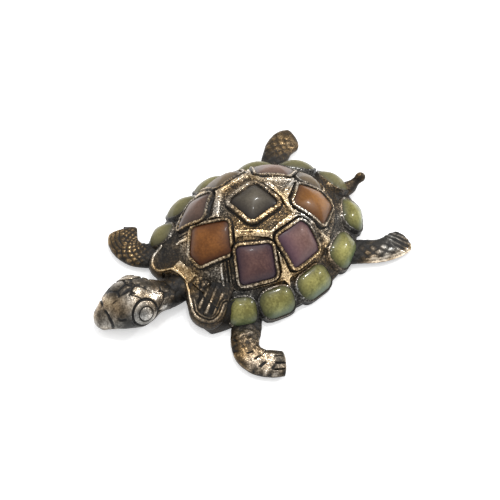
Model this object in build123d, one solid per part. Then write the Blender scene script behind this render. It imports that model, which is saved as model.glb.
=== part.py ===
from build123d import *
import math
import os

# Driving dimensions, in millimetres. The turtle looks along -Y, its left side is +X, and Z = 0 is the
# surface that it lies on. Shares in the tables are of the sizes named beside each table.

# Carapace: an arc revolved about the turtle's long axis
dome_radius = 12.8
dome_half_length = 16.6
dome_axis_height = -0.9
groove_depth = 0.5
dome_wall = 1.5

# Bezels and enamels of the carapace
bezel_width = 0.5
centre_bezel_width = 0.8
bezel_height = 0.12
cell_corner_radius = 0.8
enamel_depth = 0.7
enamel_rise = 0.5
enamel_edge_drop = 0.1
enamel_clearance = 0.04
cell_reach = 3.2

# Ridges between the scutes
ridge_width = 0.75
ridge_height = 0.05
foot_ridge_width = 0.9
foot_ridge_height = 5.2

# Sloping edge with its eleven cells
edge_half_width = 12.9
edge_half_length = 17.2
edge_height = 2.9
edge_tilt = 42.0
edge_inner_reach = 2.6
edge_outer_reach = 2.1
edge_underside_height = 0.3
edge_corner_radius = 1.25
edge_bezel_width = 0.38
edge_bezel_height = 0.35
edge_bezel_depth = 1.2
edge_enamel_rise = 1.05
edge_enamel_depth = 0.7

# Collar over the neck
collar_half_width = 8.2
collar_front = 18.0
collar_back = 11.6
collar_back_height = 5.2
collar_front_height = 2.5
collar_thickness = 1.6
collar_rib_width = 0.5
collar_relief = 0.3
collar_border = 0.4

# Belly wall that the brooch lies on
belly_half_width = 11.4
belly_half_length = 17.0
belly_wall = 1.5
belly_height = 2.4
belly_corner_radius = 1.2

# Head and neck
neck_half_width = 2.6
neck_half_height = 1.9
neck_height = 2.3
head_turn = 17.5
head_length = 12.0
head_half_width = 4.3
head_half_height = 3.15
head_height = 3.5
beak_height = 1.8
eye_position = 0.4
eye_spread = 0.68
eye_lift = 0.52
eye_tilt = 37.0
eye_radius = 1.3
eye_ring_radius = 1.85
eye_ring_thickness = 0.3

# Limbs and tail
leg_half_thickness = 1.15
leg_height = 1.5
front_leg_half_width = 2.3
rear_leg_half_width = 2.2
foot_end_length = 0.6
foot_end_share = 0.75
tail_half_width = 1.2
tail_height_share = 0.95
tail_tip_radius = 0.95

# Hidden pin: a bar between the belly walls, a stem under it and two posts
pin_bar_width = 2.6
pin_bar_thickness = 0.8
pin_bar_height = 1.8
pin_stem_radius = 0.4
pin_stem_height = 0.7
pin_stem_half_length = 11.0
pin_post_length = 2.0
pin_seat_gap = 0.05

# Corners of the middle row's cells, as shares of the dome's radius (across) and half length (along)
MIDDLE_CELLS = {
    "enamel_shell_centre": ((-0.20, -0.205), (0.22, -0.20), (0.225, 0.13), (-0.20, 0.12)),
    "enamel_shell_front": ((0.0, -0.345), (0.305, -0.515), (0.085, -0.755), (-0.12, -0.745), (-0.345, -0.56)),
    "enamel_shell_rear": ((0.0, 0.53), (0.22, 0.70), (0.12, 0.785), (-0.12, 0.785), (-0.22, 0.70)),
}
# Corners of the side cells on the left, as the same shares; the right side mirrors them
SIDE_CELLS = {
    "front": ((0.29, -0.46), (0.54, -0.185), (0.79, -0.295), (0.58, -0.60)),
    "middle": ((0.525, -0.125), (0.52, 0.195), (0.60, 0.235), (0.825, 0.225), (0.85, -0.11)),
    "rear": ((0.32, 0.24), (0.09, 0.485), (0.235, 0.675), (0.42, 0.70), (0.645, 0.405)),
}

# Ridges on the left half of the dome, from point to point, as the same shares
RIDGES = (
    ((0.0, -0.39), (0.172, -0.39)),
    ((0.172, -0.39), (0.475, -0.135)),
    ((0.475, -0.135), (0.437, 0.207)),
    ((0.437, 0.207), (0.197, 0.215)),
    ((0.197, 0.215), (0.0, 0.215)),
    ((0.172, -0.39), (0.33, -0.637)),
    ((0.33, -0.637), (0.467, -0.70)),
    ((0.475, -0.135), (0.85, -0.20)),
    ((0.437, 0.207), (0.66, 0.43)),
    ((0.197, 0.215), (0.03, 0.47)),
    ((0.03, 0.47), (0.33, 0.75)),
)

# Cells of the edge, front to rear: angle from the tail on the left and on the right, in degrees, then
# length round the edge, length down the slope and shift down the slope
EDGE_CELLS = (
    (132.0, 129.0, 4.2, 4.3, 0.4),
    (112.2, 106.5, 5.3, 4.2, 0.2),
    (89.0, 84.0, 5.8, 4.1, 0.2),
    (62.0, 56.0, 5.8, 4.2, 0.2),
    (33.5, 29.0, 5.5, 4.2, 0.2),
)
TAIL_CELL = (5.2, 4.2, 0.0)

# Collar outline from its left back corner round the front, as shares of its half width and its depth
COLLAR_OUTLINE = (
    (0.80, 0.0),
    (1.00, 0.34),
    (1.09, 0.60),
    (1.07, 0.79),
    (0.85, 0.92),
    (0.64, 0.95),
    (0.35, 0.76),
    (0.10, 0.59),
    (-0.18, 0.50),
    (-0.33, 0.54),
    (-0.55, 0.78),
    (-0.72, 0.76),
    (-0.86, 0.60),
    (-0.89, 0.40),
    (-0.80, 0.0),
)
# Ribs of the collar, as the same shares: back end, then front end
COLLAR_RIBS = (
    ((0.42, 0.34), (0.46, 0.70)),
    ((0.57, 0.34), (0.62, 0.78)),
    ((0.72, 0.34), (0.78, 0.78)),
    ((0.87, 0.36), (0.94, 0.72)),
)

# Belly outline on the left, front to rear, as shares of the belly's half width and half length
BELLY_OUTLINE = (
    (0.0, -0.88),
    (0.44, -1.0),
    (0.74, -0.99),
    (0.85, -0.78),
    (0.96, -0.48),
    (1.0, 0.0),
    (0.95, 0.45),
    (0.70, 0.80),
    (0.34, 0.96),
    (0.0, 0.99),
)

# Neck sections, root to front: plan position
NECK = ((-0.2, -12.5), (-0.45, -15.25), (-0.7, -18.0))
# Head sections, back to front: distance along the head, then width, thickness and height, as shares of
# the head's length, half width, half height and height
HEAD_SECTIONS = (
    (0.16, 0.80, 0.80, 0.88),
    (0.44, 1.00, 1.00, 1.00),
    (0.66, 0.86, 0.90, 0.93),
    (0.86, 0.53, 0.62, 0.73),
    (0.96, 0.24, 0.36, 0.60),
)

# Leg sections, root to foot: plan position, then width, thickness and height as shares of the leg's sizes
FRONT_LEFT_LEG = (
    (9.0, -9.6, 1.00, 0.87, 0.80),
    (11.9, -12.8, 1.02, 0.83, 0.70),
    (13.7, -14.7, 0.92, 0.91, 0.77),
    (15.6, -15.5, 0.96, 0.87, 0.77),
    (17.5, -15.2, 0.97, 0.83, 0.73),
    (18.9, -14.0, 0.96, 0.78, 0.67),
    (19.9, -12.5, 0.85, 0.70, 0.63),
)
FRONT_RIGHT_LEG = (
    (-7.4, -11.6, 1.00, 0.90, 0.85),
    (-9.2, -14.1, 1.00, 0.90, 0.77),
    (-11.3, -15.6, 0.97, 0.90, 0.77),
    (-13.6, -15.7, 0.97, 0.85, 0.75),
    (-15.3, -14.8, 0.96, 0.78, 0.67),
    (-16.4, -13.9, 0.80, 0.65, 0.60),
)
REAR_LEFT_LEG = (
    (9.5, 6.8, 0.95, 0.87, 0.85),
    (12.6, 11.0, 1.00, 0.87, 0.77),
    (14.2, 13.9, 1.05, 0.84, 0.75),
    (14.9, 16.2, 1.00, 0.74, 0.68),
    (15.3, 17.8, 0.80, 0.62, 0.62),
)
REAR_RIGHT_LEG = (
    (-8.2, 10.4, 0.95, 0.87, 0.80),
    (-11.3, 14.4, 0.95, 0.87, 0.77),
    (-12.9, 17.0, 1.08, 0.87, 0.77),
    (-13.8, 18.9, 1.10, 0.78, 0.70),
    (-13.9, 20.3, 0.82, 0.65, 0.63),
)
# Tail sections, root to tip: plan position, width as a share of the tail's half width, and height
TAIL = (
    (1.0, 13.5, 1.15, 1.9),
    (1.6, 17.4, 1.10, 1.5),
    (1.9, 19.4, 1.00, 1.55),
    (1.9, 20.7, 0.80, 2.0),
)

UP = Vector(0, 0, 1)
dome_arc_radius = (dome_half_length**2 / dome_radius + dome_radius) / 2
dome_arc_offset = dome_arc_radius - dome_radius
clear_height = dome_axis_height + 2 * dome_radius
slope_out = math.cos(math.radians(edge_tilt))
slope_down = math.sin(math.radians(edge_tilt))


def dome_point(across, along):
    """Point of the dome over shares of its radius and half length."""
    x, y = across * dome_radius, along * dome_half_length
    section = math.sqrt(dome_arc_radius**2 - y**2) - dome_arc_offset
    return Vector(x, y, dome_axis_height + math.sqrt(section**2 - x**2))


def dome_normal(across, along):
    """Outward normal of the dome there: it points away from the arc's centre."""
    point = dome_point(across, along)
    section = Vector(point.X, 0, point.Z - dome_axis_height)
    centre = section.normalized() * -dome_arc_offset
    return (section + Vector(0, point.Y, 0) - centre).normalized()


def dome(grow):
    """Closed dome, grown outwards all round by an amount."""
    radius = dome_arc_radius + grow
    end = math.sqrt(radius**2 - dome_arc_offset**2)
    arc = ThreePointArc((-end, 0), (0, radius - dome_arc_offset), (end, 0))
    face = make_face(arc + Line((end, 0), (-end, 0)))
    return Pos(0, 0, dome_axis_height) * revolve(Plane.YZ * face, Axis.Y)


def slab(low, high):
    """Everything between two heights, wider than the whole shell."""
    reach = 4 * dome_half_length
    return Pos(0, 0, low) * Box(reach, reach, high - low, align=(Align.CENTER, Align.CENTER, Align.MIN))


def prism(sketch, low, high):
    """Upright prism of a flat sketch between two heights."""
    return Pos(0, 0, low) * extrude(sketch, amount=high - low, dir=(0, 0, 1))


def strip(start, end, width):
    """Round-ended strip between two plan points."""
    run = Vector(*end) - Vector(*start)
    middle = (Vector(*start) + Vector(*end)) * 0.5
    turn = math.degrees(math.atan2(run.Y, run.X))
    return Pos(middle.X, middle.Y) * SlotCenterToCenter(run.length, width, rotation=turn)


class Cell:
    """A cell with its own frame: one outline shared by its bezel, its pocket and its enamel."""

    def __init__(self, name, frame, corners, corner_radius, bezel, rise, floor, drop):
        self.name = name
        self.frame = frame
        self.bezel_width = bezel
        self.rise = rise
        self.floor = floor
        self.outline = fillet(make_face(Polyline(*corners, close=True)).vertices(), corner_radius)
        middle = sum(y for _, y in corners) / len(corners)
        reach_squared = sum(x * x + (y - middle) ** 2 for x, y in corners) / len(corners)
        self.crown_radius = (reach_squared + drop**2) / (2 * drop)
        self.crown_shift = middle

    def bezel(self, low, high):
        """Prism of the outline, widened by the bezel, between two heights over the cell."""
        return self.frame * prism(offset(self.outline, self.bezel_width, kind=Kind.ARC), low, high)

    def pocket(self):
        """Prism of the outline, widened by the clearance, from the cell's floor upwards."""
        widened = offset(self.outline, enamel_clearance, kind=Kind.ARC)
        return self.frame * prism(widened, self.floor, cell_reach)

    def enamel(self):
        """Prism of the outline, closed on top by a sphere that drops to the corners."""
        body = prism(self.outline, self.floor + enamel_clearance, self.rise + enamel_depth)
        crown = Pos(0, self.crown_shift, self.rise - self.crown_radius) * Sphere(self.crown_radius)
        return self.frame * (body & crown)


def carapace_cell(name, shares, bezel):
    """Cell on the dome, square to the surface at its middle."""
    across = sum(share[0] for share in shares) / len(shares)
    along = sum(share[1] for share in shares) / len(shares)
    normal = dome_normal(across, along)
    frame = Plane(origin=dome_point(across, along), x_dir=Axis.Y.direction.cross(normal), z_dir=normal)
    local = [frame.to_local_coords(dome_point(*share)) for share in shares]
    corners = [(point.X, point.Y) for point in local]
    floor = min(point.Z for point in local) - enamel_depth
    drop = enamel_rise + enamel_edge_drop - sum(point.Z for point in local) / len(local)
    return Cell(name, frame, corners, cell_corner_radius, bezel, enamel_rise, floor, drop)


def edge_frame(angle):
    """Frame on the edge: x runs round it, y runs up the slope and z points out of the metal."""
    turn = math.radians(angle)
    place = Vector(edge_half_width * math.sin(turn), edge_half_length * math.cos(turn), edge_height)
    outward = Vector(math.sin(turn) / edge_half_width, math.cos(turn) / edge_half_length, 0).normalized()
    normal = outward * slope_down + UP * slope_out
    return Plane(origin=place, x_dir=UP.cross(outward), z_dir=normal)


def edge_cell(name, angle, length, slope, shift):
    """Cell on the sloping edge: a rounded rectangle shifted down the slope, strongly domed."""
    x, y = length / 2, slope / 2
    corners = [(x, y - shift), (-x, y - shift), (-x, -y - shift), (x, -y - shift)]
    frame = edge_frame(angle)
    drop = edge_enamel_rise + enamel_edge_drop
    return Cell(
        name, frame, corners, edge_corner_radius, edge_bezel_width, edge_enamel_rise, -edge_enamel_depth, drop
    )


def carapace_cells():
    """The three cells of the middle row and the three on each side."""
    cells = []
    for name, shares in MIDDLE_CELLS.items():
        bezel = centre_bezel_width if name.endswith("centre") else bezel_width
        cells.append(carapace_cell(name, shares, bezel))
    for word, side in (("left", 1), ("right", -1)):
        for place, shares in SIDE_CELLS.items():
            mirrored = [(side * across, along) for across, along in shares]
            cells.append(carapace_cell(f"enamel_shell_{word}_{place}", mirrored, bezel_width))
    return cells


def edge_cells():
    """The tail's cell and five down each side."""
    cells = [edge_cell("enamel_edge_tail", 0.0, *TAIL_CELL)]
    for number, (left, right, *sizes) in enumerate(EDGE_CELLS, 1):
        cells.append(edge_cell(f"enamel_edge_left_{number}", left, *sizes))
        cells.append(edge_cell(f"enamel_edge_right_{number}", -right, *sizes))
    return cells


def ridges():
    """Ridge network on the dome and the ridge round its foot."""
    plan = Sketch()
    for start, end in RIDGES:
        for side in (1, -1):
            ends = [(side * x * dome_radius, y * dome_half_length) for x, y in (start, end)]
            plan += strip(*ends, ridge_width)
    shell = dome(ridge_height)
    half = foot_ridge_width / 2
    network = prism(plan, foot_ridge_height, clear_height) & shell
    foot = shell & slab(foot_ridge_height - half, foot_ridge_height + half)
    return network + foot


def edge_ellipse(reach, sink):
    """Ellipse of the slope at a reach down it, under its surface by a sink, with its height."""
    out = reach * slope_out - sink * slope_down
    height = edge_height - reach * slope_down - sink * slope_out
    return Ellipse(edge_half_width + out, edge_half_length + out), height


def sloping_edge():
    """Sloping edge with an upright lip, open at the front where the collar lies."""
    wide, wide_height = edge_ellipse(edge_outer_reach, edge_bezel_height)
    narrow, narrow_height = edge_ellipse(-edge_inner_reach, edge_bezel_height)
    slope = loft([Pos(0, 0, wide_height) * wide, Pos(0, 0, narrow_height) * narrow], ruled=True)
    lip = prism(wide, edge_underside_height, wide_height)
    front = Box(2 * collar_half_width, collar_front, clear_height)
    return slope + lip - Pos(0, -collar_back - collar_front / 2, 0) * front


def collar_point(across, depth):
    """Plan point of the collar from shares of its half width and its depth."""
    return (across * collar_half_width, -collar_back - depth * (collar_front - collar_back))


def collar_slab(lift, thickness):
    """Tilted slab whose top lies on the collar's slope, raised by a lift."""
    run = collar_front - collar_back
    tilt = math.degrees(math.atan2(collar_back_height - collar_front_height, run))
    block = Box(4 * run, 4 * run, thickness, align=(Align.CENTER, Align.CENTER, Align.MAX))
    return Pos(0, -collar_back, collar_back_height + lift) * Rot(tilt, 0, 0) * block


def collar():
    """Collar plate with a raised border and ribs on each lobe."""
    outline = make_face(Polyline(*[collar_point(*share) for share in COLLAR_OUTLINE], close=True))
    plate = prism(outline, 0, clear_height) & collar_slab(0, collar_thickness)
    relief = outline - offset(outline, -collar_border, kind=Kind.INTERSECTION)
    for back, front in COLLAR_RIBS:
        relief += strip(collar_point(*back), collar_point(*front), collar_rib_width)
    raised = prism(relief, 0, clear_height) & collar_slab(collar_relief, 2 * collar_relief)
    return plate + raised


def belly_sketch(inset):
    """Outline of the belly wall, moved inwards by an inset and then rounded at its corners."""
    left = [(x * belly_half_width, y * belly_half_length) for x, y in BELLY_OUTLINE]
    right = [(-x, y) for x, y in reversed(left[1:-1])]
    face = make_face(Polyline(*left, *right, close=True))
    moved = offset(face, -inset, kind=Kind.INTERSECTION) if inset else face
    return fillet(moved.vertices(), belly_corner_radius)


def section(x, y, z, heading, half_width, half_thickness):
    """Elliptical section across a path that runs along a heading, in degrees from +X."""
    turn = math.radians(heading)
    forward = Vector(math.cos(turn), math.sin(turn), 0)
    return Plane(origin=(x, y, z), x_dir=UP.cross(forward), z_dir=forward) * Ellipse(half_width, half_thickness)


def headings(rows):
    """Heading at each row of a path, from the rows before and after it."""
    found = []
    for k in range(len(rows)):
        before = rows[max(k - 1, 0)]
        after = rows[min(k + 1, len(rows) - 1)]
        found.append(math.degrees(math.atan2(after[1] - before[1], after[0] - before[0])))
    return found


def leg(rows, half_width):
    """Leg and foot: a loft through elliptical sections that ends in a blunt tip."""
    turns = headings(rows)
    sections = []
    for (x, y, wide, thick, lift), turn in zip(rows, turns):
        thickness = thick * leg_half_thickness
        sections.append(section(x, y, lift * leg_height, turn, wide * half_width, thickness))
    x, y, wide, thick, lift = rows[-1]
    last = math.radians(turns[-1])
    tip = (x + foot_end_length * math.cos(last), y + foot_end_length * math.sin(last))
    end_width, end_thickness = foot_end_share * wide * half_width, foot_end_share * thick * leg_half_thickness
    sections.append(section(*tip, lift * leg_height, turns[-1], end_width, end_thickness))
    return loft(sections)


def head_point(share):
    """Plan point of the head's axis at a share of its length, from the neck's front."""
    turn = math.radians(head_turn)
    x, y = NECK[-1]
    return x - math.sin(turn) * share * head_length, y - math.cos(turn) * share * head_length


def head_and_neck():
    """Neck and head in one loft that ends in the beak."""
    heading = -90 - head_turn
    sections = [section(*place, neck_height, -90, neck_half_width, neck_half_height) for place in NECK]
    for along, wide, thick, lift in HEAD_SECTIONS:
        width, thickness = wide * head_half_width, thick * head_half_height
        sections.append(section(*head_point(along), lift * head_height, heading, width, thickness))
    sections.append(Vertex(*head_point(1.0), beak_height))
    return loft(sections)


def eyes():
    """Two eyeballs, each in a ring."""
    turn, rise = math.radians(head_turn), math.radians(eye_tilt)
    sideways = Vector(math.cos(turn), -math.sin(turn), 0)
    made = []
    for side in (1, -1):
        outward = sideways * side * math.cos(rise) + UP * math.sin(rise)
        middle = Vector(*head_point(eye_position), head_height)
        place = middle + sideways * (eye_spread * side * head_half_width) + UP * (eye_lift * head_half_height)
        plane = Plane(origin=place, x_dir=UP.cross(outward), z_dir=outward)
        made.append(plane * Sphere(eye_radius))
        made.append(plane * Torus(eye_ring_radius, eye_ring_thickness))
    return made


def tail():
    """Tail: a loft that ends in a round tip."""
    sections = []
    for (x, y, wide, height), turn in zip(TAIL, headings(TAIL)):
        width = wide * tail_half_width
        sections.append(section(x, y, height, turn, width, tail_height_share * width))
    x, y, _, height = TAIL[-1]
    return loft(sections) + Pos(x, y + tail_tip_radius / 2, height) * Sphere(tail_tip_radius)


def cavity():
    """Hollow under the shell: the dome's inside above the belly wall, and the belly's inside below."""
    inside = dome(-groove_depth - dome_wall) & slab(belly_height, clear_height)
    return inside + prism(belly_sketch(belly_wall), -belly_height, belly_height)


def casting(carapace, edge):
    """The metal: shell, edge, collar, belly wall, head, tail and legs, hollowed and pocketed."""
    body = dome(-groove_depth) & slab(edge_underside_height, clear_height)
    rim_shell = dome(bezel_height)
    added = [ridges(), sloping_edge(), collar(), prism(belly_sketch(0), 0, belly_height)]
    for cell in carapace:
        added.append(cell.bezel(cell.floor, cell_reach) & rim_shell)
    for cell in edge:
        added.append(cell.bezel(-edge_bezel_depth, 0))
    added += [leg(rows, front_leg_half_width) for rows in (FRONT_LEFT_LEG, FRONT_RIGHT_LEG)]
    added += [leg(rows, rear_leg_half_width) for rows in (REAR_LEFT_LEG, REAR_RIGHT_LEG)]
    added += [head_and_neck(), *eyes(), tail()]
    body = body + added
    return body - [cavity(), *(cell.pocket() for cell in carapace + edge)]


def brooch_pin():
    """Plain pin: a bar that seats between the belly walls, two posts and a stem."""
    seat = belly_sketch(belly_wall + pin_seat_gap) & Rectangle(pin_bar_width, 4 * belly_half_length)
    bar = prism(seat, pin_bar_height - pin_bar_thickness / 2, pin_bar_height + pin_bar_thickness / 2)
    stem = Rot(90, 0, 0) * Cylinder(pin_stem_radius, 2 * pin_stem_half_length)
    pin = bar + Pos(0, 0, pin_stem_height) * stem
    post = Box(2 * pin_stem_radius, pin_post_length, pin_bar_height - pin_stem_height)
    reach = pin_stem_half_length - pin_post_length / 2
    for end in (reach, -reach):
        pin += Pos(0, end, (pin_bar_height + pin_stem_height) / 2) * post
    return pin


carapace = carapace_cells()
edge = edge_cells()
pieces = {"casting": casting(carapace, edge), "brooch_pin": brooch_pin()}
for cell in carapace + edge:
    pieces[cell.name] = cell.enamel()

# The origin is the middle of the whole piece's box, on the surface that it lies on
box = Compound(children=[Compound(piece.solids()) for piece in pieces.values()]).bounding_box()
shift = Pos(-box.center().X, -box.center().Y, -box.min.Z)
os.makedirs("parts", exist_ok=True)
for name, piece in pieces.items():
    export_step(shift * piece, f"parts/{name}.step")
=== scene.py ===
# %% [markdown]
# # A turtle brooch in antiqued metal and pearly enamel
# The real brooch is one metal casting with a hollow back. Twenty cells on its shell and round its edge
# hold glossy enamel. The CAD frame gives every size; here the casting gets its hammered rims, scales and
# worn, dark-stained finish, and each enamel gets its crowned, pearly surface.

import math

import bpy
import numpy as np
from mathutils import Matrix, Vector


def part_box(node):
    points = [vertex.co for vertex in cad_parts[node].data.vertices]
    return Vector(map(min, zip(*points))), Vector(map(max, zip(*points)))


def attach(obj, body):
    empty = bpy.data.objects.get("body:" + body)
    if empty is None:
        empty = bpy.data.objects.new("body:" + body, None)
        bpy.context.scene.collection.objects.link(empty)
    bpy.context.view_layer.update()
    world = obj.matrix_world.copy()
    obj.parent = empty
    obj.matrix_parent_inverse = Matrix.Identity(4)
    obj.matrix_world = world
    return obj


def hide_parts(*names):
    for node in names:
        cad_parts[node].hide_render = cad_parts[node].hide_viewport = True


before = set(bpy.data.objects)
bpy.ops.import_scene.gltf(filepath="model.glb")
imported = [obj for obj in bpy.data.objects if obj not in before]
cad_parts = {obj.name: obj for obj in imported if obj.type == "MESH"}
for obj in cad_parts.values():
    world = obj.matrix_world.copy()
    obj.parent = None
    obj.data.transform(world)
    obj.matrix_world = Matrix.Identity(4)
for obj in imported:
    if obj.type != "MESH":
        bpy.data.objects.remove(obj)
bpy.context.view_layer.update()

# %% [markdown]
# All shapes are worked out in millimetres on the turtle's own axes: its head looks along -Y, its left side
# is +X, and the table is at Z = 0. The frame's origin is the middle of the whole box instead. The pin lies
# on the turtle's middle line, and the tail's enamel ends 19.18 mm behind the turtle's zero, so these two
# nodes give the step from one set of axes to the other.

# %% From the turtle's axes to the frame's
TAIL_ENAMEL_END = 19.18
pin_box, tail_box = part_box("brooch_pin"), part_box("enamel_edge_tail")
middle_line = (pin_box[0][0] + pin_box[1][0]) / 2
zero_along = tail_box[1][1] - TAIL_ENAMEL_END / 1000
ORIGIN = np.array([middle_line, zero_along, 0.0])
print("turtle's zero in the frame", np.round(ORIGIN * 1000, 3), "mm")


def to_frame(points):
    """Frame position = turtle position / 1000 + the turtle's zero."""
    return np.asarray(points) / 1000 + ORIGIN


def add_object(name, data):
    """New object of the scene with this data."""
    made = bpy.data.objects.new(name, data)
    bpy.context.scene.collection.objects.link(made)
    return made


# %% [markdown]
# The camera is a long lens at the photograph's angle: 47.7 degrees round from the head's side and 50.5
# degrees above the table. A lens of 93.6 mm on a 36 mm sensor gives the photograph's perspective at 208 mm.

# %% The camera
AZIMUTH, ELEVATION, DISTANCE = math.radians(47.7), math.radians(50.5), 0.208
LENS, SENSOR = 93.6, 36.0
AIM = to_frame([-0.05, -1.17, 0.0])
level = math.cos(ELEVATION)
back = np.array([math.sin(AZIMUTH) * level, -math.cos(AZIMUTH) * level, math.sin(ELEVATION)])
camera_data = bpy.data.cameras.new("camera")
camera_data.lens, camera_data.sensor_width = LENS, SENSOR
camera_data.clip_start = 0.01
camera = add_object("camera", camera_data)
camera.location = AIM + back * DISTANCE
camera.rotation_euler = (math.pi / 2 - ELEVATION, 0.0, AZIMUTH)
bpy.context.scene.camera = camera
print("camera at", np.round(camera.location, 4))

# %% [markdown]
# ## Tools for surfaces
# Each piece is a grid of points: its rows run along the piece and its columns across or round it. The
# whole grid is worked out at once as arrays, then put into a mesh in one go.


# %% From a grid of points to a piece
def unit(vectors):
    """Each vector divided by its length."""
    return vectors / np.maximum(np.linalg.norm(vectors, axis=-1, keepdims=True), 1e-12)


def smooth(x, low, high):
    """0 below low, 1 above high, and 3t^2 - 2t^3 between, where t is the share of the way."""
    t = np.clip((x - low) / (high - low), 0, 1)
    return t * t * (3 - 2 * t)


def toward(value, target, share):
    """Value moved to a target by a share: value * (1 - share) + target * share."""
    return value * (1 - share) + target * share


def normals_of(points):
    """Normal at each point of a closed grid: step to the next row x step to the next column."""
    along = np.gradient(points, axis=0)
    across = np.roll(points, -1, axis=1) - np.roll(points, 1, axis=1)
    return unit(np.cross(along, across))


def surface(name, points, ring=True, caps=(False, False), flip=False, **values):
    """Mesh of a grid: quads between neighbours, a fan to the middle of each capped end row, and one
    number for each point under each name in values. Faces look along the column step x the row step,
    and with flip the other way."""
    rows, columns = points.shape[:2]
    index = np.arange(rows * columns).reshape(rows, columns)
    here = index if ring else index[:, :-1]
    beside = np.roll(index, -1, axis=1) if ring else index[:, 1:]
    quads = np.stack([here[:-1], beside[:-1], beside[1:], here[1:]], -1).reshape(-1, 4)
    flat = points.reshape(-1, 3)
    extra = {key: np.broadcast_to(v, (rows, columns)).reshape(-1) for key, v in values.items()}
    fans = []
    for capped, row, turned in ((caps[0], 0, True), (caps[1], rows - 1, False)):
        if capped:
            pole = len(flat)
            flat = np.vstack([flat, points[row].mean(axis=0)])
            extra = {key: np.append(v, v[index[row]].mean()) for key, v in extra.items()}
            ends = (beside[row], here[row]) if turned else (here[row], beside[row])
            fans.append(np.stack([ends[0], ends[1], np.full(len(here[row]), pole)], -1))
    triangles = np.vstack(fans) if fans else np.zeros((0, 3), int)
    if flip:
        quads, triangles = quads[:, ::-1], triangles[:, ::-1]
    mesh = bpy.data.meshes.new(name)
    mesh.vertices.add(len(flat))
    mesh.vertices.foreach_set("co", to_frame(flat).astype(np.float32).ravel())
    corners = np.concatenate([quads.ravel(), triangles.ravel()]).astype(np.int32)
    mesh.loops.add(len(corners))
    mesh.loops.foreach_set("vertex_index", corners)
    starts = np.concatenate([np.arange(len(quads)) * 4, len(quads) * 4 + np.arange(len(triangles)) * 3])
    mesh.polygons.add(len(starts))
    mesh.polygons.foreach_set("loop_start", starts.astype(np.int32))
    mesh.update(calc_edges=True)
    mesh.shade_smooth()
    for key, v in extra.items():
        mesh.attributes.new(key, "FLOAT", "POINT").data.foreach_set("value", v.astype(np.float32))
    mesh.validate()
    print(f"{name}: {2 * len(quads) + len(triangles)} triangles")
    return add_object(name, mesh)


# %% [markdown]
# Cast metal is never quite smooth. Two kinds of seeded noise roughen it: soft waves, and stones like the
# marks of a small round hammer or the plates of a reptile's skin.


# %% Seeded roughness
def random_at(cells, seed):
    """A number from 0 to 1 for each whole-numbered cell, from a hash of its three numbers."""
    mixed = cells[..., 0] * 73856093 ^ cells[..., 1] * 19349663 ^ cells[..., 2] * 83492791 ^ seed * 9781
    mixed = (mixed ^ (mixed >> 13)) * 1274126177 & 0xFFFFFFFF
    mixed = (mixed ^ (mixed >> 16)) * 2246822519 & 0xFFFFFFFF
    return (mixed ^ (mixed >> 15)) / 4294967295.0


def waves(points, size, seed=0):
    """Soft noise from -1 to 1: the random values at a cell's eight corners, blended across the cell."""
    scaled = points / size + 1000.0
    cell = np.floor(scaled).astype(np.int64)
    share = scaled - cell
    share = share * share * (3 - 2 * share)
    total = 0
    for corner in np.ndindex(2, 2, 2):
        weight = np.prod(np.where(corner, share, 1 - share), axis=-1)
        total = total + weight * random_at(cell + corner, seed)
    return 2 * total - 1


def stones(points, size, seed=0):
    """Irregular plates round scattered middles. The bump is 1 at a middle and falls with the square of
    the distance; the gap is the second nearest middle's distance less the nearest's, 0 on a border."""
    scaled = points / size + 1000.0
    cell = np.floor(scaled).astype(np.int64)
    first = np.full(points.shape[:-1], 9.0)
    second = first.copy()
    for step in np.ndindex(3, 3, 3):
        near = cell + step - 1
        jitter = np.stack([random_at(near, seed + k) for k in range(3)], -1)
        away = np.linalg.norm(near + jitter - scaled, axis=-1)
        second = np.minimum(second, np.maximum(first, away))
        first = np.minimum(first, away)
    return 1 - np.clip(first, 0, 1) ** 2, second - first


# %% [markdown]
# ## The shell's shape and its cells
# The shell is an arc turned about the turtle's long axis. A cell is a rounded outline in a flat frame that
# touches the shell at the cell's middle. Its rim, its groove and its enamel all follow one signed distance
# to that outline: negative inside, zero on it and positive outside.

# %% The dome as a formula
DOME_RADIUS, DOME_HALF_LENGTH, DOME_AXIS = 12.8, 16.6, -0.9
ARC = (DOME_HALF_LENGTH**2 / DOME_RADIUS + DOME_RADIUS) / 2
ARC_OFFSET = ARC - DOME_RADIUS


def dome(x, y):
    """Height over a plan point and the normal there: the section's radius shrinks along an arc, and the
    height is what is left of that radius beyond the sideways distance."""
    section = np.sqrt(np.maximum(ARC**2 - y**2, 1e-6)) - ARC_OFFSET
    rise = np.sqrt(np.maximum(section**2 - x**2, 1e-6))
    tilt = (section + ARC_OFFSET) / ARC
    normal = np.stack([x / section * tilt, y / ARC, rise / section * tilt], -1)
    return np.stack([x, y, rise + DOME_AXIS], -1), unit(normal)


# %% Cells on the dome, as shares of its radius and half length
MIDDLE_CELLS = {
    "centre": ((-0.20, -0.205), (0.22, -0.20), (0.225, 0.13), (-0.20, 0.12)),
    "front": ((0.0, -0.345), (0.305, -0.515), (0.085, -0.755), (-0.12, -0.745), (-0.345, -0.56)),
    "rear": ((0.0, 0.53), (0.22, 0.70), (0.12, 0.785), (-0.12, 0.785), (-0.22, 0.70)),
}
SIDE_CELLS = {
    "front": ((0.29, -0.46), (0.54, -0.185), (0.79, -0.295), (0.58, -0.60)),
    "middle": ((0.525, -0.125), (0.52, 0.195), (0.60, 0.235), (0.825, 0.225), (0.85, -0.11)),
    "rear": ((0.32, 0.24), (0.09, 0.485), (0.235, 0.675), (0.42, 0.70), (0.645, 0.405)),
}


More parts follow.
